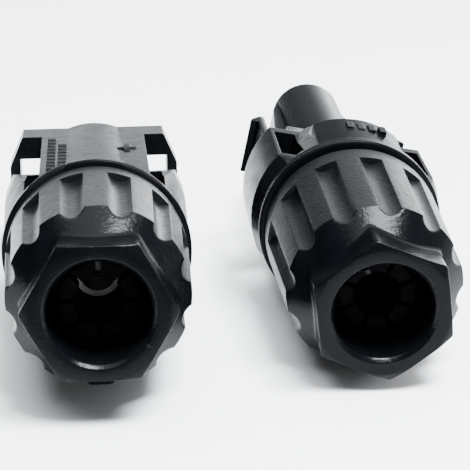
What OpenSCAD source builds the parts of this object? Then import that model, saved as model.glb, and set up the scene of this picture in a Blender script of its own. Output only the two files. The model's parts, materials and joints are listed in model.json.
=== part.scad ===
// Pair of single-pole solar cable connectors, apart and side by side, standing on z = 0.
// The plug half (pin contact) is on the left and the socket half on the right.
// Both cable entries face -Y and both mating ends face +Y.

/* [Layout] */
// Distance between the two connector axes
axis_pitch = 29.4; // [27:0.1:40]
// How far the socket half lies ahead of the plug half, towards +Y
socket_ahead = 5.6; // [0:0.1:8]
// Turn of the socket half on the surface it lies on, in degrees
socket_yaw = 1; // [-3:0.1:3]
// Roll of the plug housing about its axis, in degrees
plug_roll = -0.4; // [-10:0.1:10]
// Roll of the socket housing about its axis, in degrees
socket_roll = 11; // [-12:0.5:12]
// Turn of the socket half's nut, in degrees
socket_nut_turn = 23; // [0:1:60]

/* [Cable nut] */
// Length of the nut
nut_len = 22.1; // [21.5:0.1:23]
// Width of the nut across its hexagon flats
nut_hex_af = 14; // [13.5:0.5:14.5]
// Radius over the grip ridges at the shoulder
ridge_r_front = 9.55; // [9.3:0.05:9.7]
// Radius of the plain collar at the rim
nut_r = 9.95; // [9.85:0.05:10.1]
// Number of grip flutes
flutes = 12; // [6:1:14]
// Radius of a flute
flute_r = 1.5; // [1.2:0.1:1.7]
// Radius of the cable entry bore
entry_r = 5.3; // [5:0.1:5.6]
// Open gap between nut and flange on the plug half
plug_nut_gap = 0.45; // [0.4:0.05:0.6]
// Open gap between nut and flange on the socket half
socket_nut_gap = 0.9; // [0.6:0.1:1.2]

/* [Housings] */
// Radius of the housing flange
flange_r = 10.5; // [10.2:0.1:10.8]
// Plug housing length in front of the nut side of its flange
plug_reach = 32.4; // [30:0.2:34]
// Height of the plug's flat top above its axis
plug_flat_z = 7.3; // [7:0.1:7.5]
// Radius of the plug's central barrel
plug_barrel_r = 7.9; // [7.7:0.1:8.1]
// Thickness of the slotted mouth plate
mouth_plate = 4.9; // [4:0.1:5]
// Reach of the socket's shoulder in front of its flange
shoulder_reach = 17.7; // [17:0.1:18.2]
// Length of the nose in front of the shoulder
nose_len = 21.4; // [19:0.2:21.6]
// Radius of the nose
nose_r = 4.4; // [4.2:0.05:4.5]

/* [Latch fingers] */
// Distance from the axis to the inner face of a finger
finger_in = 8; // [7.9:0.05:8.1]
// Half height of a finger
finger_half = 3.5; // [3:0.05:3.6]
// How far a barb stands proud of the finger
barb_h = 0.95; // [0.5:0.05:1]

/* [Contacts] */
// Radius of the contact pin
pin_r = 2; // [1.9:0.05:2.05]
// Outer radius of the crimp barrels
crimp_r = 2.5; // [2.4:0.05:2.6]
// Bore radius of the crimp barrels
crimp_bore_r = 1.9; // [1.7:0.05:1.95]

/* [Hidden] */
$fn = 64;

// Colours
shell_black = [0.16, 0.16, 0.17];
nut_black = [0.13, 0.13, 0.14];
rubber_black = [0.08, 0.08, 0.09];
cage_grey = [0.22, 0.22, 0.23];
tin_silver = [0.8, 0.8, 0.78];
spring_silver = [0.7, 0.7, 0.72];

// Resting poses. The plug half lies on its flange and the edge of its mouth; the
// socket half lies on its flange and the front edge of its nut.
flange_t = 1.6;
flange_edge_t = 0.5;
hex_len = 3.4;
shoulder_s = 6.2;
flute_end = 19.3;
plug_tilt = atan((flange_r - plug_barrel_r) / (plug_reach - flange_edge_t));
socket_flange_s = nut_len + socket_nut_gap;
plug_flange_s = nut_len + plug_nut_gap;
socket_tilt = atan((flange_r - ridge_r_front) / (socket_flange_s - shoulder_s));
plug_z = (plug_flange_s + flange_edge_t) * sin(plug_tilt) + flange_r * cos(plug_tilt);
socket_z = ridge_r_front * cos(socket_tilt) - shoulder_s * sin(socket_tilt);
// Puts the middle of the pair's length on y = 0
plug_y = -33.6;
socket_y = plug_y + socket_ahead;

// Inside of the nut, measured from its hexagon face
wedge_s = 4.2;
wedge_end_r = 6.3;
thread_s = 8.4;
nut_thread_r = 8.25;
pilot_len = 1.5;
pilot_r = 8.9;
running_gap = 0.05;
// Threaded spigot of a housing, measured back from the nut side of its flange
spigot_len = 13.4;
spigot_r = 7.75;
gland_r = 6.1;
gland_back = 4.8;
seal_len = 6.4;
// Contact chamber, measured forwards from the nut side of the flange
crimp_back = -8.1;
passage_r = 3.15;
collar_seat = 2.7;
collar_r = 3;
collar_t = 1.2;
clip_r = 3.6;
clip_t = 1.1;
clip_back = collar_seat - collar_t - clip_t - 0.1;
neck_r = 2.6;
neck_bore_r = 2.65;
// Plug front
barrel_r = 4.75;
tip_gap = 0.6;
barrel_floor = plug_reach - nose_len - tip_gap;
block_half = 6.25;
side_half = 10.3;
side_z = 3.6;
corner_half = 8.7;
notch_back = 15.4;
pocket_wall = 1.5;
pocket_out = 7.8;
slot_in = 6.35;
slot_out = 9.05;
slot_half = 4.6;
key_half = 1.45;
key_out = 5.9;
seal_groove_r = 5.6;
seal_groove_t = 2;
// Socket front
band_r = 10.4;
cone_r_back = 9.7;
cone_r_front = 8.15;
rim_t = 13.3;
arm_r = 11;
arm_half = 6;
ledge_half = 5;
ledge_out = 6.3;
rib_half = 1.25;
rib_out = 5.7;
// Ribs narrow towards the nose's tip: [distance back from the tip, height above the axis]
rib_tip = [0.7, 4.3];
rib_middle = [4.1, 5.1];
rib_full = 10.1;
pad_half = 5;
pad_end = 9;
pad_r = 10;
window_out = 8.8;
window_t = [4.7, 12];
knuckle_t = rim_t + 0.15;
knuckle_x = 8.9;
knuckle_r = 0.9;
finger_out_back = 9.75;
finger_out_front = 9;
barb_t = shoulder_reach + mouth_plate + 0.1;
finger_tip = barb_t + 1.9;
socket_bore_r = 3.35;
nose_mouth_r = 2.6;
cup_r = 2.2;
cup_len = 14;
nose_tip = shoulder_reach + nose_len;
cup_front = nose_tip - 1.2;
band_len = 7.8;
band_back = cup_front - 10.4;
band_groove_r = 2.55;

// Places. A connector is drawn along +Z from the face of its nut, with -Y upwards.
module plug_place() {
    translate([-axis_pitch / 2, plug_y, plug_z]) rotate([-90 - plug_tilt, 0, 0]) children();
}
module socket_place() {
    translate([axis_pitch / 2, socket_y, socket_z])
        rotate([-90 + socket_tilt, 0, socket_yaw]) children();
}
module plug_body_place() {
    plug_place() translate([0, 0, plug_flange_s]) rotate([0, 0, plug_roll]) children();
}
module socket_body_place() {
    socket_place() translate([0, 0, socket_flange_s]) rotate([0, 0, socket_roll]) children();
}

module tube(r_out, r_in, z0, z1) {
    translate([0, 0, z0]) difference() {
        cylinder(r = r_out, h = z1 - z0);
        translate([0, 0, -1]) cylinder(r = r_in, h = z1 - z0 + 2);
    }
}
module rod(r, z0, z1) {
    translate([0, 0, z0]) cylinder(r = r, h = z1 - z0);
}
module block(x0, x1, y_half, z0, z1) {
    translate([x0, -y_half, z0]) cube([x1 - x0, 2 * y_half, z1 - z0]);
}
// The same shape on the +X and the -X side
module both_sides() {
    children();
    mirror([1, 0, 0]) children();
}
// The same shape over and under the axis
module above_and_below() {
    children();
    mirror([0, 1, 0]) children();
}

// Cable nut: hexagon boss, conical shoulder, fluted grip and plain collar.
module nut_outside() {
    corner_r = nut_hex_af / 2 + 1;
    chamfer_s = 0.5;
    intersection() {
        cylinder(r = nut_hex_af / sqrt(3), h = shoulder_s, $fn = 6);
        union() {
            rod(corner_r, chamfer_s, shoulder_s);
            cylinder(r1 = nut_hex_af / 2 + 0.05, r2 = corner_r, h = chamfer_s);
        }
    }
    rotate_extrude() polygon([
        [0, hex_len - 0.4],
        [nut_hex_af / 2 - 0.05, hex_len - 0.4],
        [nut_hex_af / 2 + 0.1, hex_len],
        [ridge_r_front, shoulder_s],
        [nut_r, flute_end],
        [nut_r, nut_len - 0.15],
        [nut_r - 0.15, nut_len],
        [0, nut_len]
    ]);
}
// The flutes run out through the shoulder in front and end square behind.
module nut_flutes() {
    depth_front = 0.74;
    depth_back = 0.8;
    run_out = 1.5;
    rise = nut_r - depth_back - ridge_r_front + depth_front;
    for (i = [0:flutes - 1])
        rotate([0, 0, (i + 0.5) * 360 / flutes])
            translate([ridge_r_front - depth_front + flute_r, 0, shoulder_s])
                rotate([0, atan(rise / (flute_end - shoulder_s)), 0])
                    translate([0, 0, -run_out])
                        cylinder(r = flute_r, h = flute_end - shoulder_s + run_out);
}
module nut_inside() {
    chamfer = 0.45;
    rotate_extrude() polygon([
        [0, -1],
        [entry_r + chamfer + 1, -1],
        [entry_r, chamfer],
        [entry_r, wedge_s],
        [wedge_end_r, thread_s - 0.2],
        [wedge_end_r, thread_s],
        [nut_thread_r, thread_s],
        [nut_thread_r, nut_len - pilot_len - 0.7],
        [pilot_r + running_gap, nut_len - pilot_len],
        [pilot_r + running_gap, nut_len + 1],
        [0, nut_len + 1]
    ]);
}
module cable_nut() {
    color(nut_black) difference() {
        nut_outside();
        nut_flutes();
        nut_inside();
    }
}

// Clamp cage: a thrust ring with eight fingers that the nut's cone squeezes on the cable.
module clamp_cage() {
    tip_s = 4.7;
    ring_s = 9.4;
    end_s = 10.9;
    fingers = 8;
    slit = 0.5;
    color(cage_grey) difference() {
        rotate_extrude() polygon([
            [2.5, tip_s + 0.25],
            [2.75, tip_s],
            [4, tip_s],
            [5.4, tip_s + 1],
            [6, ring_s - 0.6],
            [6, end_s],
            [3.3, end_s],
            [3.3, ring_s - 1.2],
            [2.5, tip_s + 1.6]
        ]);
        for (i = [0:fingers / 2 - 1])
            rotate([0, 0, i * 360 / fingers])
                translate([-8, -slit / 2, tip_s - 1]) cube([16, slit, ring_s - tip_s + 0.6]);
    }
}

// Rubber sleeve that seals on the cable; measured from the nut side of the flange.
module cable_seal() {
    s0 = -gland_back - seal_len;
    color(rubber_black) rotate_extrude() polygon([
        [2.8, s0 + 0.3],
        [3.1, s0],
        [gland_r - 0.45, s0],
        [gland_r - 0.05, s0 + 0.4],
        [gland_r - 0.05, s0 + 1.6],
        [gland_r - 0.35, s0 + 2.1],
        [gland_r - 0.05, s0 + 2.6],
        [gland_r - 0.05, s0 + 3.8],
        [gland_r - 0.35, s0 + 4.3],
        [gland_r - 0.05, s0 + 4.8],
        [gland_r - 0.05, -gland_back - 0.05],
        [2.8, -gland_back - 0.05]
    ]);
}

// Spring ring that snaps behind the contact's collar; open at one side.
module retaining_clip() {
    color(spring_silver) difference() {
        tube(clip_r, crimp_r + 0.03, clip_back, clip_back + clip_t);
        translate([-0.7, 0, clip_back - 1]) cube([1.4, 6, clip_t + 2]);
    }
}

// Crimp barrel with its inspection hole, collar and neck, up to the contact's front part.
module contact_back(front) {
    difference() {
        union() {
            tube(crimp_r, crimp_bore_r, crimp_back, 0);
            rod(crimp_r, -0.5, collar_seat);
            rod(collar_r, collar_seat - collar_t, collar_seat);
            rod(neck_r, collar_seat - 0.1, front);
        }
        translate([0, 0, -2.6]) rotate([-90, 0, 0]) cylinder(r = 0.5, h = 4);
    }
}
module plug_pin_contact() {
    pin_end = plug_reach - 5.4;
    color(tin_silver) plug_body_place() {
        contact_back(barrel_floor + 0.4);
        rotate_extrude() polygon([
            [0, barrel_floor],
            [pin_r, barrel_floor],
            [pin_r, pin_end - 1.6],
            [1.55, pin_end - 0.5],
            [0.9, pin_end],
            [0, pin_end]
        ]);
    }
}
module socket_contact() {
    color(tin_silver) socket_body_place() difference() {
        union() {
            contact_back(shoulder_reach - 6);
            rod(socket_bore_r - 0.05, shoulder_reach - 6, cup_front);
        }
        rod(cup_r, cup_front - cup_len, cup_front + 1);
        rod(band_groove_r, band_back - 0.1, band_back + band_len + 0.1);
    }
}
// Thin louvred band inside the socket that presses on the pin.
module socket_spring_band() {
    louvres = 8;
    slot = 0.35;
    color(spring_silver) socket_body_place() difference() {
        tube(band_groove_r - 0.05, cup_r, band_back, band_back + band_len);
        for (i = [0:louvres / 2 - 1])
            rotate([0, 0, i * 360 / louvres])
                translate([-4, -slot / 2, band_back + 1]) cube([8, slot, band_len - 2]);
    }
}

// Cable side of either housing: flange with a groove round it, pilot land and threaded
// spigot.
module housing_back() {
    edge = 0.3;
    groove = 0.3;
    groove_len = 0.25;
    rotate_extrude() polygon([
        [0, -spigot_len],
        [spigot_r - 0.5, -spigot_len],
        [spigot_r, -spigot_len + 0.5],
        [spigot_r, -pilot_len - 0.5],
        [pilot_r - 0.4, -pilot_len],
        [pilot_r, -pilot_len + 0.4],
        [pilot_r, 0],
        [flange_r - edge, 0],
        [flange_r - 0.3 * edge, 0.3 * edge],
        [flange_r, edge],
        [flange_r, flange_edge_t],
        [flange_r - groove, flange_edge_t],
        [flange_r - groove, flange_edge_t + groove_len],
        [band_r, flange_edge_t + groove_len],
        [band_r, flange_t - 0.1],
        [band_r - 0.1, flange_t],
        [0, flange_t]
    ]);
}
module gland_and_passage(front) {
    rod(gland_r, -spigot_len - 1, -gland_back);
    rod(passage_r, -gland_back - 1, collar_seat);
    rod(clip_r + 0.05, clip_back - 0.1, clip_back + clip_t + 0.1);
    rod(neck_bore_r, collar_seat - 1, front);
}

// Plug housing: barrel with a flat-topped block, slotted mouth plate and side shells.
module plug_outline() {
    polygon([
        [corner_half, plug_flat_z], [side_half, side_z], [side_half, -side_z],
        [corner_half, -plug_flat_z], [-corner_half, -plug_flat_z], [-side_half, -side_z],
        [-side_half, side_z], [-corner_half, plug_flat_z]
    ]);
}
module plug_core() {
    back_r = 10.1;
    full_r = 11.3;
    blend = 12;
    intersection() {
        translate([0, 0, flange_t]) linear_extrude(plug_reach - flange_t) plug_outline();
        union() {
            // the side shells narrow from the flange's roundness to the flat sides
            translate([0, 0, flange_t]) cylinder(r1 = back_r, r2 = full_r, h = blend);
            rod(full_r, flange_t + blend, plug_reach + 1);
        }
    }
    rod(plug_barrel_r, flange_t, plug_reach);
}
module plug_cuts() {
    plate_back = plug_reach - mouth_plate;
    pocket_t = flange_t + 0.6;
    mouth_chamfer = 0.6;
    both_sides() {
        // open notch behind the mouth plate
        block(block_half, 14, 12, notch_back, plate_back);
        // slot that a latch finger passes through
        block(slot_in, slot_out, slot_half, plate_back - 1, plug_reach + 1);
        key_way();
        above_and_below() {
            // blind pocket between block and side shell
            translate([block_half, -11, pocket_t])
                cube([pocket_out - block_half, 8, notch_back - pocket_wall - pocket_t]);
            // top edge of the shells falls away towards the notch
            translate([block_half, -5.5, notch_back]) rotate([-9, 0, 0])
                translate([0, -6, -11]) cube([6, 6, 13]);
        }
    }
    rod(barrel_r, barrel_floor, plug_reach + 1);
    rod(seal_groove_r, barrel_floor + 0.3, barrel_floor + 0.3 + seal_groove_t);
    translate([0, 0, plug_reach - mouth_chamfer])
        cylinder(r1 = barrel_r, r2 = barrel_r + 2 * mouth_chamfer, h = 2 * mouth_chamfer);
}
// Key way for a rib of the nose, narrowing towards the barrel's floor like the rib
module key_way() {
    play = 0.3;
    tip_z = barrel_floor + tip_gap;
    translate([0, key_half, 0]) rotate([90, 0, 0]) linear_extrude(2 * key_half) polygon([
        [0, tip_z - play],
        [barrel_r, tip_z - play],
        [rib_middle[1] + play, tip_z + rib_middle[0] - play],
        [key_out, tip_z + rib_full - 2 * play],
        [key_out, plug_reach + 1],
        [0, plug_reach + 1]
    ]);
}
// Moulded marks: two plain ladders of bars and a plus sign for polarity.
module plug_marks() {
    proud = 0.14;
    row = 1.7;
    bar = 1;
    // x of the left edge, first row, width and number of rows of each ladder
    for (ladder = [[-5.5, 9.6, 1, 9], [-4.2, 11.3, 1, 6]])
        for (i = [0:ladder[3]])
            plug_mark(ladder[0], ladder[1] + i * row, ladder[2], bar, proud);
    plug_mark(3.6, 18.2, 0.7, 3.4, proud);
    plug_mark(2.8, 19.5, 2.3, 0.8, proud);
}
module plug_mark(x, z, width, length, proud) {
    translate([x, -plug_flat_z - proud, z]) cube([width, proud + 0.2, length]);
}
module plug_housing() {
    color(shell_black) plug_body_place() {
        difference() {
            union() {
                housing_back();
                plug_core();
            }
            gland_and_passage(barrel_floor + 1);
            plug_cuts();
        }
        plug_marks();
    }
}

// Socket housing: tapered body between two side arms, which end in a rim plate that the
// latch fingers stand on, a ledge, and a ribbed nose that holds the socket contact.
module socket_housing() {
    color(shell_black) socket_body_place() {
        difference() {
            union() {
                housing_back();
                translate([0, 0, flange_t])
                    cylinder(r1 = cone_r_back, r2 = cone_r_front, h = rim_t - flange_t);
                side_arms();
                label_pads();
                block(-ledge_out, ledge_out, ledge_half, rim_t - 1, shoulder_reach);
                rotate_extrude() polygon([
                    [0, rim_t], [nose_r, rim_t], [nose_r, nose_tip - 0.5],
                    [nose_r - 0.5, nose_tip], [0, nose_tip]
                ]);
                nose_ribs();
            }
            both_sides() {
                // open window between body and arm
                block(ledge_out, window_out, 12, window_t[0], window_t[1]);
                // hollow for a finger's round root
                translate([knuckle_x, finger_half + 0.1, knuckle_t]) rotate([90, 0, 0])
                    cylinder(r = knuckle_r + running_gap, h = 2 * finger_half + 0.2);
            }
            gland_and_passage(shoulder_reach - 5);
            rod(socket_bore_r, shoulder_reach - 6.05, cup_front + 0.1);
            rod(nose_mouth_r, cup_front, nose_tip + 1);
        }
        pad_marks();
    }
}
module side_arms() {
    blend = 2.4;
    intersection() {
        union() {
            translate([0, 0, flange_t]) cylinder(r1 = band_r, r2 = arm_r, h = blend);
            rod(arm_r, flange_t + blend, rim_t);
        }
        block(-arm_r - 1, arm_r + 1, arm_half, flange_t, rim_t);
    }
}
// Raised pads over and under the tapered body, rising a little towards the front
module label_pads() {
    intersection() {
        rotate_extrude() polygon([
            [0, flange_t], [cone_r_back, flange_t], [pad_r, pad_end], [0, pad_end + pad_r]
        ]);
        block(-pad_half, pad_half, pad_r + 1, flange_t, rim_t);
    }
}
// Plain raised bars on the upper pad
module pad_marks() {
    slope = atan((pad_r - cone_r_back) / (pad_end - flange_t));
    proud = 0.12;
    mark_t = 6;
    mark_y = -cone_r_back - (mark_t - flange_t) * tan(slope) - proud;
    for (i = [0:3])
        translate([-1.6 + 1.3 * i, mark_y, mark_t]) rotate([slope, 0, 0]) cube([0.8, 0.7, 1.6]);
}
module nose_ribs() {
    rib_back = shoulder_reach - 0.5;
    rib_in = nose_r - 0.6;
    both_sides() translate([0, rib_half, 0]) rotate([90, 0, 0])
        linear_extrude(2 * rib_half) polygon([
            [rib_in, rib_back],
            [rib_out, rib_back],
            [rib_out, nose_tip - rib_full],
            [rib_middle[1], nose_tip - rib_middle[0]],
            [rib_tip[1], nose_tip - rib_tip[0]],
            [rib_in, nose_tip - rib_tip[0]]
        ]);
}
module latch_finger() {
    color(shell_black) {
        translate([0, finger_half, 0]) rotate([90, 0, 0]) linear_extrude(2 * finger_half) polygon([
            [knuckle_x - knuckle_r + 0.05, knuckle_t],
            [finger_out_back, knuckle_t],
            [finger_out_front, knuckle_t + 3],
            [finger_out_front, barb_t],
            [finger_out_front + barb_h, barb_t],
            [finger_out_front + barb_h - 0.25, barb_t + 0.6],
            [finger_in + 0.7, finger_tip],
            [finger_in + 0.2, finger_tip],
            [finger_in, finger_tip - 0.3],
            [finger_in, knuckle_t + 1.5]
        ]);
        translate([knuckle_x, finger_half, knuckle_t]) rotate([90, 0, 0])
            cylinder(r = knuckle_r, h = 2 * finger_half);
    }
}

module plug_nut() {
    plug_place() cable_nut();
}
module socket_nut() {
    socket_place() rotate([0, 0, socket_nut_turn]) cable_nut();
}
module plug_clamp_cage() {
    plug_place() clamp_cage();
}
module socket_clamp_cage() {
    socket_place() rotate([0, 0, socket_nut_turn]) clamp_cage();
}
module plug_cable_seal() {
    plug_body_place() cable_seal();
}
module socket_cable_seal() {
    socket_body_place() cable_seal();
}
module plug_retaining_clip() {
    plug_body_place() retaining_clip();
}
module socket_retaining_clip() {
    socket_body_place() retaining_clip();
}
// Ring at the barrel's floor that seals on the tip of the mated nose
module plug_nose_seal() {
    mid = barrel_floor + 0.3 + seal_groove_t / 2;
    color(rubber_black) plug_body_place()
        rotate_extrude() translate([nose_r - 0.1 + 0.65, mid]) circle(r = 0.65);
}
module latch_finger_left() {
    socket_body_place() mirror([1, 0, 0]) latch_finger();
}
module latch_finger_right() {
    socket_body_place() latch_finger();
}

plug_housing();
plug_nut();
plug_clamp_cage();
plug_cable_seal();
plug_pin_contact();
plug_retaining_clip();
plug_nose_seal();
socket_housing();
socket_nut();
socket_clamp_cage();
socket_cable_seal();
socket_contact();
socket_spring_band();
socket_retaining_clip();
latch_finger_left();
latch_finger_right();
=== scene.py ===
"""Looks of the pair of solar cable connectors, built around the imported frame."""
import json
from math import cos, pi, radians, sin

import bmesh
import bpy
import numpy as np
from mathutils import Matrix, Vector


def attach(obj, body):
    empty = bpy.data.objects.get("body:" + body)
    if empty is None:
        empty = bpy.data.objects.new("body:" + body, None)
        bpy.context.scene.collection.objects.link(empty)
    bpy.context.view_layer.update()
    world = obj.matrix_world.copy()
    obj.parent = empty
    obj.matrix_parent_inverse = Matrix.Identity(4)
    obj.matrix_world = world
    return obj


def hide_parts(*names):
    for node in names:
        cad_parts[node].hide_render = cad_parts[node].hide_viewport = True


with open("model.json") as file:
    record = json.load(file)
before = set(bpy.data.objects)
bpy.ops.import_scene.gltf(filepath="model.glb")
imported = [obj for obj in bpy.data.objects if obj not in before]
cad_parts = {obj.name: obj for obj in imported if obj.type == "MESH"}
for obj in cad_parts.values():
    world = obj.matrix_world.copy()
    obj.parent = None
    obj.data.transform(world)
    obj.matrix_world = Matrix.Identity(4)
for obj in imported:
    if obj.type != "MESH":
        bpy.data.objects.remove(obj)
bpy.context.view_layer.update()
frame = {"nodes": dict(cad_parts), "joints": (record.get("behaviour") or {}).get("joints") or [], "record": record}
MM = 0.001
JOINTS = {j["name"]: j for j in frame["joints"]}


# ---------------------------------------------------------------- places
# a nut's joint sits this far inside the nut's hexagon face, in mm
JOINT_TO_FACE = 10


class Place:
    """A connector half's own frame: x right, y up and s from its nut's face, in mm."""

    def __init__(self, turn_joint, roll_deg):
        joint = JOINTS[turn_joint]
        to_cable = Vector(joint["axis"])
        self.axis = -to_cable
        self.origin = Vector(joint["pos_m"]) + to_cable * JOINT_TO_FACE * MM
        right = self.axis.cross(Vector((0, 0, 1))).normalized()
        up = right.cross(self.axis)
        roll = radians(roll_deg)
        self.right = right * cos(roll) - up * sin(roll)
        self.up = up * cos(roll) + right * sin(roll)

    def point(self, x, y, s):
        return self.origin + (self.right * x + self.up * y + self.axis * s) * MM


PLUG = Place("plug_nut_turn", 0)
PLUG_HOUSING = Place("plug_nut_turn", -0.4)
SOCKET = Place("socket_nut_turn", 23)


# ---------------------------------------------------------------- node helpers
class Nodes:
    """Short calls for building a material's node tree."""

    def __init__(self, name):
        self.material = bpy.data.materials.new(name)
        self.material.use_nodes = True
        self.tree = self.material.node_tree
        self.shader = self.tree.nodes["Principled BSDF"]
        self.where = self.add("ShaderNodeTexCoord").outputs["Object"]

    def add(self, kind, **values):
        node = self.tree.nodes.new(kind)
        for key, value in values.items():
            setattr(node, key, value)
        return node

    def link(self, a, b):
        self.tree.links.new(a, b)

    def set(self, node, **sockets):
        for key, value in sockets.items():
            socket = node.inputs[key.replace("_", " ")]
            if isinstance(value, bpy.types.NodeSocket):
                self.link(value, socket)
            else:
                socket.default_value = value
        return node

    def noise(self, size_mm, detail=2.0, rough=0.5, stretch=None):
        vector = self.where
        if stretch:
            mapping = self.set(self.add("ShaderNodeMapping"), Vector=vector, Scale=stretch)
            vector = mapping.outputs["Vector"]
        node = self.add("ShaderNodeTexNoise")
        self.set(node, Vector=vector, Scale=1 / (size_mm * MM), Detail=detail, Roughness=rough)
        return node.outputs["Fac"]

    def remap(self, value, lo, hi, out_lo, out_hi):
        node = self.add("ShaderNodeMapRange")
        self.set(node, Value=value, From_Min=lo, From_Max=hi, To_Min=out_lo, To_Max=out_hi)
        return node.outputs["Result"]

    def mix(self, fac, a, b):
        node = self.add("ShaderNodeMix", data_type="RGBA")
        for i, value in ((0, fac), (6, a), (7, b)):
            if isinstance(value, bpy.types.NodeSocket):
                self.link(value, node.inputs[i])
            else:
                node.inputs[i].default_value = value
        return node.outputs[2]

    def maths(self, a, b, operation="ADD"):
        node = self.add("ShaderNodeMath", operation=operation)
        for i, value in enumerate((a, b)):
            if isinstance(value, bpy.types.NodeSocket):
                self.link(value, node.inputs[i])
            else:
                node.inputs[i].default_value = value
        return node.outputs[0]

    def bump(self, height, depth_mm, edge_mm=0.0):
        """Relief, over edges that catch the light as if rounded by edge_mm."""
        node = self.add("ShaderNodeBump")
        self.set(node, Height=height, Distance=depth_mm * MM, Strength=1.0)
        if edge_mm:
            edge = self.set(self.add("ShaderNodeBevel", samples=6), Radius=edge_mm * MM)
            self.link(edge.outputs["Normal"], node.inputs["Normal"])
        self.link(node.outputs["Normal"], self.shader.inputs["Normal"])


def plastic(name, colour, rough, grain_mm, grain_depth, edge_mm=0.2, ior=1.16):
    """Black moulded plastic with spark-eroded grain, faint colour drift and worn edges."""
    n = Nodes(name)
    drift = n.noise(3.0, 3.0)
    dark = (*[c * 0.8 for c in colour], 1)
    light = (*[c * 1.25 for c in colour], 1)
    base = n.mix(n.remap(drift, 0.3, 0.7, 0, 1), dark, light)
    edge = n.remap(n.add("ShaderNodeNewGeometry").outputs["Pointiness"], 0.52, 0.6, 0, 1)
    scuff = n.remap(n.noise(0.8, 4.0, 0.7), 0.45, 0.7, 0, 0.5)
    worn = n.maths(edge, scuff, "MULTIPLY")
    pale = (*[c * 2.2 + 0.004 for c in colour], 1)
    n.link(n.mix(worn, base, pale), n.shader.inputs["Base Color"])
    grain = n.noise(grain_mm, 3.0, 0.6)
    coarse = n.noise(grain_mm * 3.1, 2.0)
    height = n.maths(grain, n.maths(coarse, 0.6, "MULTIPLY"))
    n.bump(height, grain_depth, edge_mm=edge_mm)
    patch = n.noise(1.7, 4.0, 0.6)
    n.link(n.remap(patch, 0.3, 0.7, rough - 0.05, rough + 0.05),
           n.shader.inputs["Roughness"])
    n.shader.inputs["IOR"].default_value = ior
    return n.material


def nut_plastic(name):
    """Black plastic, finely grained where the grain attribute says and polished elsewhere."""
    n = Nodes(name)
    mask = n.add("ShaderNodeAttribute", attribute_name="grain").outputs["Fac"]
    drift = n.remap(n.noise(2.5, 3.0), 0.3, 0.7, 0, 1)
    matt = n.mix(drift, (0.0024, 0.0026, 0.003, 1), (0.004, 0.0043, 0.005, 1))
    gloss = n.mix(drift, (0.001, 0.0012, 0.0016, 1), (0.0018, 0.0021, 0.0027, 1))
    edge = n.remap(n.add("ShaderNodeNewGeometry").outputs["Pointiness"], 0.53, 0.62, 0, 1)
    scuff = n.remap(n.noise(0.7, 4.0, 0.7), 0.45, 0.7, 0, 0.6)
    worn = n.maths(edge, scuff, "MULTIPLY")
    base = n.mix(worn, n.mix(mask, gloss, matt), (0.014, 0.014, 0.015, 1))
    n.link(base, n.shader.inputs["Base Color"])
    n.link(n.remap(mask, 0, 1, 1.15, 1.28), n.shader.inputs["IOR"])
    leather = n.noise(0.4, 2.5, 0.6)
    deep = n.remap(mask, 0.0, 1.0, 1.0, 2.2)
    n.bump(n.maths(leather, deep, "MULTIPLY"), 0.03)
    smooth = n.remap(n.noise(1.2, 3.0), 0.3, 0.7, 0.16, 0.22)
    rough = n.remap(n.noise(0.9, 3.0), 0.3, 0.7, 0.3, 0.4)
    step = n.maths(n.maths(rough, smooth, "SUBTRACT"), mask, "MULTIPLY")
    n.link(n.maths(smooth, step), n.shader.inputs["Roughness"])
    return n.material


def rubber(name):
    """Dull black silicone rubber."""
    n = Nodes(name)
    n.link(n.mix(n.noise(1.2, 3.0), (0.006, 0.006, 0.007, 1), (0.012, 0.012, 0.013, 1)),
           n.shader.inputs["Base Color"])
    n.bump(n.noise(0.12, 3.0, 0.6), 0.02)
    n.link(n.remap(n.noise(0.9), 0.3, 0.7, 0.6, 0.8), n.shader.inputs["Roughness"])
    return n.material


def metal(name, colour, rough, line_mm):
    """Plated or rolled metal with fine lines and a finish that varies a little."""
    n = Nodes(name)
    tint = n.mix(n.noise(1.5, 3.0), (*[c * 0.86 for c in colour], 1), (*colour, 1))
    n.link(tint, n.shader.inputs["Base Color"])
    n.shader.inputs["Metallic"].default_value = 1.0
    lines = n.noise(line_mm, 2.0, 0.5, stretch=(1, 8, 1))
    n.bump(lines, 0.004)
    n.link(n.remap(n.noise(0.6, 4.0), 0.3, 0.7, rough - 0.07, rough + 0.1),
           n.shader.inputs["Roughness"])
    return n.material


# ---------------------------------------------------------------- mesh helpers
# facets of round CAD surfaces meet at less than this angle, in degrees
FACET_ANGLE = 15


def new_object(name, mesh, material):
    """Links a mesh into the scene with one material."""
    obj = bpy.data.objects.new(name, mesh)
    bpy.context.scene.collection.objects.link(obj)
    mesh.materials.clear()
    mesh.materials.append(material)
    return obj


def shown(node, materials, body, bevel_mm=0.0):
    """A smoothly shaded copy of a CAD node, with rounded edges if asked; it replaces it."""
    mesh = frame["nodes"][node].data.copy()
    bm = bmesh.new()
    bm.from_mesh(mesh)
    bmesh.ops.remove_doubles(bm, verts=bm.verts, dist=1e-6)
    if bevel_mm:
        bmesh.ops.dissolve_limit(bm, angle_limit=radians(0.6), verts=bm.verts, edges=bm.edges)
    bm.to_mesh(mesh)
    bm.free()
    for polygon in mesh.polygons:
        polygon.use_smooth = True
    obj = new_object(node + "_shown", mesh, materials[0])
    for extra in materials[1:]:
        mesh.materials.append(extra)
    if bevel_mm:
        bevel = obj.modifiers.new("round_edges", "BEVEL")
        bevel.width = bevel_mm * MM
        bevel.segments = 3
        bevel.limit_method = "ANGLE"
        bevel.angle_limit = radians(34)
        bevel.harden_normals = True
        apply_modifiers(obj)
    else:
        mesh.set_sharp_from_angle(angle=radians(FACET_ANGLE))
        # large flat faces keep their own shading next to small ones
        weighted = obj.modifiers.new("weighted", "WEIGHTED_NORMAL")
        weighted.mode = "FACE_AREA_WITH_ANGLE"
        weighted.keep_sharp = True
        apply_modifiers(obj)
    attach(obj, body)
    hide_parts(node)
    return obj


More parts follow.
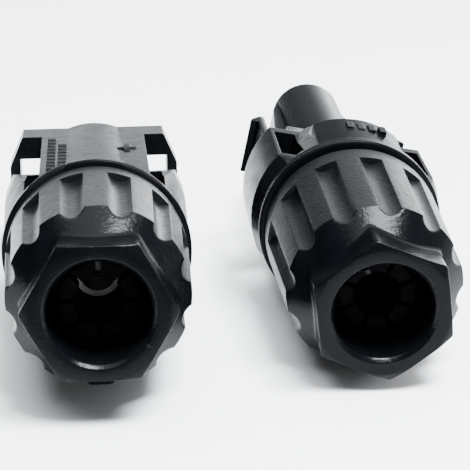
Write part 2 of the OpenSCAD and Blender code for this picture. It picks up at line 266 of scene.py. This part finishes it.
def darken_marks(obj, place, top_mm, bulge_mm):
    """Gives what stands over a flat top, beside its round bulge, the second material."""
    for polygon in obj.data.polygons:
        from_origin = polygon.center - place.origin
        beside = abs(from_origin.dot(place.right)) / MM > bulge_mm
        if beside and from_origin.dot(place.up) / MM > top_mm:
            polygon.material_index = 1


def round_normals(obj, place):
    """Gives the facets of turned surfaces round the axis the normals of the true surface."""
    mesh = obj.data
    off_surface = 0.03 * MM
    widest = cos(radians(16))
    normals = [corner.vector.copy() for corner in mesh.corner_normals]
    for polygon in mesh.polygons:
        along = polygon.normal.dot(place.axis)
        outwards = polygon.normal - place.axis * along
        if outwards.length < 0.2:
            continue
        spokes, heights = [], []
        for v in polygon.vertices:
            from_origin = mesh.vertices[v].co - place.origin
            heights.append(from_origin.dot(place.axis))
            spokes.append(from_origin - place.axis * heights[-1])
        side = 1 if outwards.dot(spokes[0]) > 0 else -1
        slope = -side * along / outwards.length
        level = [spoke.length - slope * height for spoke, height in zip(spokes, heights)]
        if max(level) - min(level) > off_surface or min(s.length for s in spokes) < MM:
            continue
        spokes = [spoke.normalized() for spoke in spokes]
        if min(a.dot(b) for a in spokes for b in spokes) < widest:
            continue
        for corner, spoke in zip(polygon.loop_indices, spokes):
            normals[corner] = spoke * side * outwards.length + place.axis * along
    mesh.normals_split_custom_set(normals)


def paint_bore_shade(obj, place, r_mm, end_mm):
    """Gives the wall of a crimp barrel's bore the second material, as painted shade where the bore lies in shade.
    """
    for polygon in obj.data.polygons:
        from_origin = polygon.center - place.origin
        along = from_origin.dot(place.axis)
        across = (from_origin - place.axis * along).length
        if across / MM < r_mm and along / MM < end_mm:
            polygon.material_index = 1


def apply_modifiers(obj):
    """Swaps the object's mesh for the one its modifiers make."""
    graph = bpy.context.evaluated_depsgraph_get()
    baked = bpy.data.meshes.new_from_object(obj.evaluated_get(graph))
    obj.modifiers.clear()
    obj.data = baked


# ---------------------------------------------------------------- cable nuts
# A nut is rings of points round its axis. Sizes are in mm; pairs are (place, radius).
TURN_STEPS = 288
ANGLES = np.radians(np.arange(TURN_STEPS) * 360 / TURN_STEPS)
HALF_AF = 7.0
BOSS_END = 2.6
BOSS_BLEND_END = 5.4
CORNER_FILLET = 0.6
SHOULDER = ((3.4, 7.1), (6.2, 9.55))
FLUTE_R = 1.5
FLUTE_FLOOR = ((6.2, 8.81), (19.3, 9.15))
FLUTE_START = 5.2
FLUTE_END = 19.3
ALL_GRAINED_FROM = 7
RIM_R = 9.95
NUT_LEN = 22.1
THREAD_PITCH = 2.0
THREAD_R = 8.24
THREAD_DEPTH = 0.28
THREAD_START = 8.9
THREAD_END = 19.8


def soft_min(a, b, k):
    """The smaller of two radii, blended over about k where they cross."""
    h = np.clip(0.5 + 0.5 * (b - a) / k, 0, 1)
    return b * (1 - h) + a * h - k * h * (1 - h)


def soft_max(a, b, k):
    """The larger of two radii, blended in the same way."""
    return -soft_min(-a, -b, k)


def line(points, s):
    """Radius at a place on the straight line through two (place, radius) points."""
    (s0, r0), (s1, r1) = points
    return r0 + (r1 - r0) * (s - s0) / (s1 - s0)


def hexagon_radius():
    """Rounded hexagon with corners on the x axis."""
    from_corner = np.abs((ANGLES + pi / 6) % (pi / 3) - pi / 6)
    flat = HALF_AF / np.cos(pi / 6 - from_corner)
    centre = (HALF_AF - CORNER_FILLET) / cos(pi / 6)
    inside = np.maximum(CORNER_FILLET ** 2 - (centre * np.sin(from_corner)) ** 2, 0)
    fillet = centre * np.cos(from_corner) + np.sqrt(inside)
    on_fillet = from_corner < pi / 6 - np.arctan(centre * 0.5 / HALF_AF)
    return np.where(on_fillet, fillet, flat)


def flute_radius(s):
    """Distance to the near wall of the flutes, which lie between the lands."""
    centre = line(FLUTE_FLOOR, s) + FLUTE_R
    off = (ANGLES % (pi / 6)) - pi / 12
    across = centre * np.sin(np.abs(off))
    wall = np.sqrt(np.maximum(FLUTE_R ** 2 - across ** 2, 0))
    return centre * np.cos(off) - wall + np.maximum(across - FLUTE_R, 0) * 6


def rounding(depth, r):
    """How far an edge rounded with radius r falls back at a depth under its end face."""
    x = np.clip(1 - depth / r, 0, 1)
    return r * (1 - np.sqrt(1 - x * x))


def outer_radius(s):
    """Radii of the outside at a place, and how grained it is there, all round."""
    chamfer = 7.12 + 1.9 * s
    boss = soft_min(hexagon_radius(), np.full(TURN_STEPS, chamfer), 0.12) - rounding(s, 0.14)
    if s <= BOSS_END:
        return boss, np.zeros(TURN_STEPS)
    cone = line(SHOULDER, s)
    land = line((SHOULDER[1], (FLUTE_END, RIM_R)), s)
    sleeve = soft_min(cone, min(land, RIM_R), 0.06)
    if s < FLUTE_END - 0.02:
        grip = soft_min(np.full(TURN_STEPS, sleeve), flute_radius(s), 0.16)
    else:
        grip = np.full(TURN_STEPS, sleeve)
    whole = soft_max(boss, grip, 0.3) if s < BOSS_BLEND_END else grip
    whole = whole - rounding(NUT_LEN - s, 0.2)
    # the grip is grained; the shoulder and the hexagon are polished
    grain = np.clip((land - cone) * -8 + 0.5, 0, 1) if s < ALL_GRAINED_FROM else 1.0
    in_flute = np.clip((sleeve - grip) * 10, 0, 1)
    return whole, np.maximum(np.full(TURN_STEPS, grain), in_flute * (s > FLUTE_START))


def nut_sections():
    """The rings of a nut in order round its section, as (radii, place, grain)."""
    places = [0, 0.02, 0.05, 0.09, 0.14, 0.2, 0.28, 0.36, 0.44, 0.5, 0.56, 0.64, 0.8]
    places += [1.3, 2.0, BOSS_END]
    places += list(np.arange(2.8, 6.75, 0.07))
    places += [6.9, 7.2, 9, 12, 15, 18, 19.0, 19.15, 19.22, FLUTE_END - 0.03, FLUTE_END + 0.01]
    places += [19.4, 19.6, 20.4, 21.4, 21.85, 21.92, 21.98, 22.04, 22.08, NUT_LEN]
    plain = np.ones(TURN_STEPS)

    def turned(profile):
        return [(plain * radius, s, plain * 0) for radius, s in profile]

    rings = []
    for s in places:
        radii, grain = outer_radius(s)
        rings.append((radii, s, grain))
    rings += turned([(9.4, NUT_LEN), (9.0, NUT_LEN - 0.02), (8.95, NUT_LEN - 0.1),
                     (8.95, 20.6), (8.3, 19.95)])
    for s in np.arange(19.6, THREAD_START, -0.34):
        phase = (s / THREAD_PITCH - ANGLES / (2 * pi)) % 1
        ridge = np.clip(1.5 - np.abs(phase - 0.5) * 6, 0, 1)
        fade = min(1, (s - THREAD_START) / 0.8, (THREAD_END - s) / 0.8)
        rings.append((THREAD_R - THREAD_DEPTH * ridge * fade, s, plain * 0))
    # the cone that squeezes the cage, the cable bore and its rounded mouth
    rings += turned([(THREAD_R, 8.5), (8.15, 8.41), (6.4, 8.4), (6.31, 8.32), (6.3, 8.2),
                     (5.8, 6.2), (5.33, 4.3), (5.31, 4.1), (5.3, 3.8), (5.3, 0.7), (5.31, 0.5),
                     (5.36, 0.4), (5.5, 0.25), (5.68, 0.08), (5.74, 0.02), (5.83, 0), (6.4, 0)])
    return rings


def cable_nut(node, place, body, material):
    """Builds a nut with softened edges, grain and an inside thread in place of its CAD node."""
    rings = nut_sections()
    vertices, grain = [], []
    for radii, s, ring_grain in rings:
        for angle, radius, amount in zip(ANGLES, radii, ring_grain):
            vertices.append(place.point(radius * cos(angle), -radius * sin(angle), s))
            grain.append(amount)
    faces = []
    for i in range(len(rings)):
        a, b = i * TURN_STEPS, ((i + 1) % len(rings)) * TURN_STEPS
        for j in range(TURN_STEPS):
            k = (j + 1) % TURN_STEPS
            faces.append((a + j, a + k, b + k, b + j))
    mesh = bpy.data.meshes.new(node + "_shown")
    mesh.from_pydata(vertices, [], faces)
    mesh.attributes.new("grain", "FLOAT", "POINT").data.foreach_set("value", grain)
    for polygon in mesh.polygons:
        polygon.use_smooth = True
    mesh.set_sharp_from_angle(angle=radians(38))
    bm = bmesh.new()
    bm.from_mesh(mesh)
    bmesh.ops.recalc_face_normals(bm, faces=bm.faces)
    bm.to_mesh(mesh)
    bm.free()
    obj = new_object(node + "_shown", mesh, material)
    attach(obj, body)
    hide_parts(node)


# ---------------------------------------------------------------- camera, light, floor
def camera():
    """Looks down along the connectors from the side of their cable entries."""
    data = bpy.data.cameras.new("camera")
    data.lens = 142.3
    data.sensor_width = 36
    data.clip_start = 0.005
    obj = bpy.data.objects.new("camera", data)
    bpy.context.scene.collection.objects.link(obj)
    aim = Vector((1.03, -5.21, 10.0)) * MM
    turn, down, distance = radians(4.667), radians(19.885), 211.7 * MM
    ahead = Vector((sin(turn) * cos(down), cos(turn) * cos(down), -sin(down)))
    obj.location = aim - ahead * distance
    obj.rotation_mode = "QUATERNION"
    obj.rotation_quaternion = ahead.to_track_quat("-Z", "Y")
    bpy.context.scene.camera = obj


def area_light(name, place, aim, size, power, colour=(1, 1, 1)):
    """A soft lamp; place and aim in metres, power in watts."""
    data = bpy.data.lights.new(name, "AREA")
    data.shape = "RECTANGLE"
    data.size, data.size_y = size
    data.energy = power
    data.color = colour
    obj = bpy.data.objects.new(name, data)
    bpy.context.scene.collection.objects.link(obj)
    obj.location = place
    obj.rotation_mode = "QUATERNION"
    obj.rotation_quaternion = (Vector(aim) - Vector(place)).to_track_quat("-Z", "Y")


def sky():
    """Soft light: bright behind, low down and to the right, and from straight overhead."""
    world = bpy.data.worlds.new("studio")
    bpy.context.scene.world = world
    world.use_nodes = True
    tree = world.node_tree

    def node(kind, **values):
        made = tree.nodes.new(kind)
        for key, value in values.items():
            setattr(made, key, value)
        return made

    def ramp(value, lo, hi, out_lo, out_hi):
        made = node("ShaderNodeMapRange", interpolation_type="SMOOTHSTEP")
        for key, number in zip(("From Min", "From Max", "To Min", "To Max"),
                               (lo, hi, out_lo, out_hi)):
            made.inputs[key].default_value = number
        tree.links.new(value, made.inputs["Value"])
        return made.outputs["Result"]

    def combined(a, b, operation="MULTIPLY"):
        made = node("ShaderNodeMath", operation=operation)
        tree.links.new(a, made.inputs[0])
        tree.links.new(b, made.inputs[1])
        return made.outputs[0]

    split = node("ShaderNodeSeparateXYZ")
    tree.links.new(node("ShaderNodeTexCoord").outputs["Generated"], split.inputs[0])
    back = ramp(split.outputs["Y"], 0.1, 0.8, 0.8, 3.7)
    low = ramp(split.outputs["Z"], 0.04, 0.26, 1.0, 0.25)
    left = ramp(split.outputs["X"], -0.42, -0.04, 0.06, 1.0)
    right = ramp(split.outputs["X"], 0.05, 0.4, 1.0, 3.4)
    overhead = ramp(split.outputs["Z"], 0.78, 0.95, 0.0, 7.5)
    background = tree.nodes["Background"]
    background.inputs["Color"].default_value = (0.93, 0.965, 1.0, 1)
    behind = combined(combined(back, low), combined(left, right))
    total = combined(behind, overhead, "ADD")
    tree.links.new(total, background.inputs["Strength"])


def studio():
    """Light, and a pale paper floor whose colour darkens in front as painted shade."""
    sky()
    # a small cool lamp for the shine on the nuts' shoulders, and a weak one on the right
    area_light("front_top", (0.13, -0.16, 0.5), (0, 0, 0), (0.27, 0.14), 16, (0.9, 0.95, 1.0))
    area_light("right_back", (0.5, 0.25, 0.2), (0.01, 0, 0.01), (0.4, 0.3), 2)
    bm = bmesh.new()
    bmesh.ops.create_grid(bm, x_segments=8, y_segments=8, size=1.5)
    mesh = bpy.data.meshes.new("floor")
    bm.to_mesh(mesh)
    n = Nodes("floor_paper")
    # painted shade: the paper's colour darkens in front of the pair, beyond the picture
    split = n.add("ShaderNodeSeparateXYZ")
    n.link(n.where, split.inputs[0])
    shaded_at, lit_at = -0.095, -0.045
    lit = n.remap(split.outputs["Y"], shaded_at, lit_at, 0.0, 1.0)
    paper = n.mix(n.noise(8.0), (0.88, 0.88, 0.88, 1), (0.91, 0.91, 0.91, 1))
    n.link(n.mix(lit, (0.12, 0.12, 0.13, 1), paper), n.shader.inputs["Base Color"])
    n.shader.inputs["Roughness"].default_value = 0.9
    n.shader.inputs["Specular IOR Level"].default_value = 0.1
    floor = new_object("floor", mesh, n.material)


camera()
studio()
# The pale surroundings add much shine, so the blacks themselves are very dark.
housing = plastic("housing_black", (0.002, 0.0022, 0.0027), 0.25, grain_mm=0.14,
                  grain_depth=0.003, edge_mm=0.12, ior=1.12)
marks = plastic("mark_black", (0.002, 0.002, 0.0025), 0.55, grain_mm=0.1, grain_depth=0.03)
nut_black = nut_plastic("nut_black")
cage_black = plastic("cage_black", (0.0018, 0.0018, 0.002), 0.6, grain_mm=0.15,
                     grain_depth=0.01, ior=1.05)
seal_rubber = rubber("seal_rubber")
tin = metal("tin_plating", (0.9, 0.89, 0.86), 0.5, 0.1)
# painted shade: near-black metal inside the crimp bores, where they lie in shade
bore_painted_shade = metal("bore_painted_shade", (0.1, 0.09, 0.08), 0.4, 0.1)
spring = metal("spring_strip", (0.7, 0.7, 0.71), 0.3, 0.08)
# sizes of the CAD's shapes that pick out faces, in mm
PLUG_FLAT_TOP = 7.3
PLUG_BULGE = 3.1
CRIMP_BORE_R = 1.9
CRIMP_BORE_END = 22
FINGER_EDGE = 0.18

LOOKS = {
    "housing_plastic": (housing, marks), "nut_plastic": (nut_black,),
    "cage_plastic": (cage_black,), "seal_rubber": (seal_rubber,),
    "tinned_copper": (tin, bore_painted_shade), "spring_metal": (spring,),
}
NUTS = {"plug_nut": PLUG, "socket_nut": SOCKET}
SLOTS = {s["node"]: s["material_slot"] for s in frame["record"]["subparts"]}
for body, members in frame["record"]["behaviour"]["bodies"].items():
    for node in members:
        look = LOOKS[SLOTS[node]]
        if node in NUTS:
            cable_nut(node, NUTS[node], body, look[0])
            continue
        edge = FINGER_EDGE if node.startswith("latch") else 0.0
        obj = shown(node, look, body, edge)
        if node.endswith("housing"):
            round_normals(obj, PLUG if node == "plug_housing" else SOCKET)
        if node == "plug_housing":
            darken_marks(obj, PLUG_HOUSING, PLUG_FLAT_TOP + 0.02, PLUG_BULGE)
        # the crimp bores' walls get painted shade
        if node == "plug_pin_contact":
            paint_bore_shade(obj, PLUG, CRIMP_BORE_R + 0.05, CRIMP_BORE_END)
        if node == "socket_contact":
            paint_bore_shade(obj, SOCKET, CRIMP_BORE_R + 0.05, CRIMP_BORE_END)
